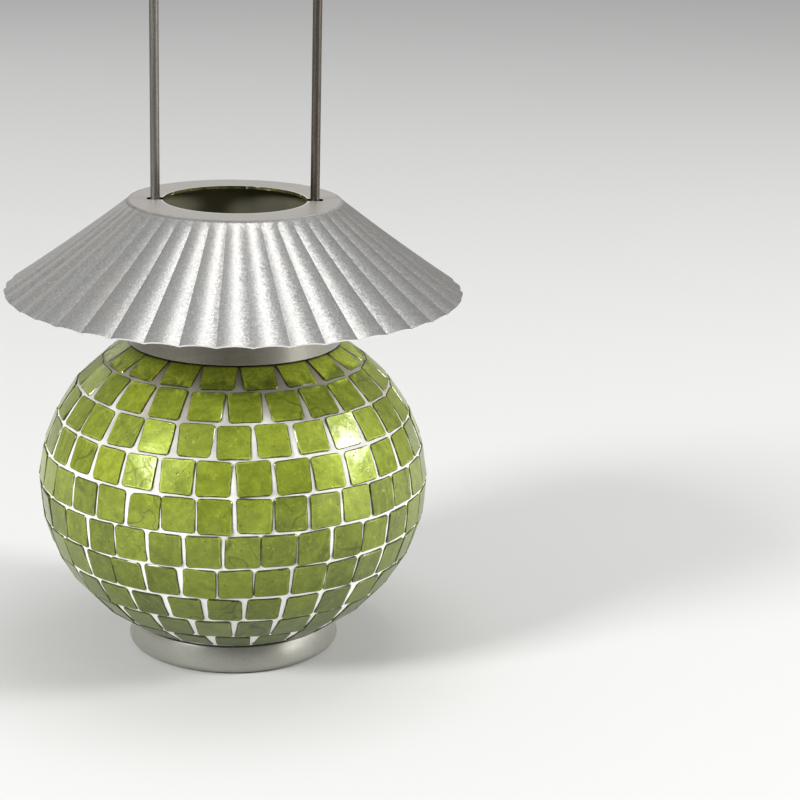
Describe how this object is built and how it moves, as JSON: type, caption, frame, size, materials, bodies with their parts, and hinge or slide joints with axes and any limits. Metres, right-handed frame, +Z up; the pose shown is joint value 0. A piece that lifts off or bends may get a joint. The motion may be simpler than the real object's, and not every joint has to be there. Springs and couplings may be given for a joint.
{
  "type": "hanging mosaic tealight lantern",
  "caption": "Glass tealight globe with a green tile mosaic, foot ring, collar, loose scalloped metal shade and wire bail.",
  "frame": {"origin": "centre of the foot ring's underside, on the floor", "axes": "+Z up along the globe's axis; the bail lies in the XZ plane, so +X points from leg to leg"},
  "size_m": [0.1394, 0.1394, 0.2621],
  "materials": {
    "clear_glass": "clear blown glass",
    "green_glass": "lime and olive stained glass tiles, glossy",
    "grout": "fine white mosaic grout, matt",
    "satin_metal": "satin silver-grey",
    "silver_paint": "silver metallic paint with fine grain",
    "steel_wire": "drawn wire, satin",
    "aluminium_foil": "thin drawn aluminium",
    "wax": "white paraffin wax, slightly translucent",
    "cotton": "waxed cotton"
  },
  "bodies": {
    "lantern": {"glass_bowl": "clear_glass", "grout_coat": "grout", "tile_row_01": "green_glass", "tile_row_02": "green_glass", "tile_row_03": "green_glass", "tile_row_04": "green_glass", "tile_row_05": "green_glass", "tile_row_06": "green_glass", "tile_row_07": "green_glass", "tile_row_08": "green_glass", "tile_row_09": "green_glass", "tile_row_10": "green_glass", "base_ring": "satin_metal", "collar": "satin_metal"},
    "shade": {"shade": "silver_paint"},
    "bail": {"bail": "steel_wire"},
    "tealight": {"tealight_cup": "aluminium_foil", "tealight_wick_tab": "aluminium_foil", "tealight_wax": "wax", "tealight_wick": "cotton"}
  },
  "joints": [
    {"name": "shade_lift", "type": "slide", "parent": "lantern", "child": "shade", "axis": [0, 0, 1], "range_m": [0, 0.16]},
    {"name": "bail_swing", "type": "hinge", "parent": "lantern", "child": "bail", "pos_m": [0, 0, 0.13115], "axis": [1, 0, 0], "range_deg": [-2, 2]},
    {"name": "tealight_lift", "type": "slide", "parent": "lantern", "child": "tealight", "axis": [0, 0, 1], "range_m": [0, 0.135]}
  ]
}
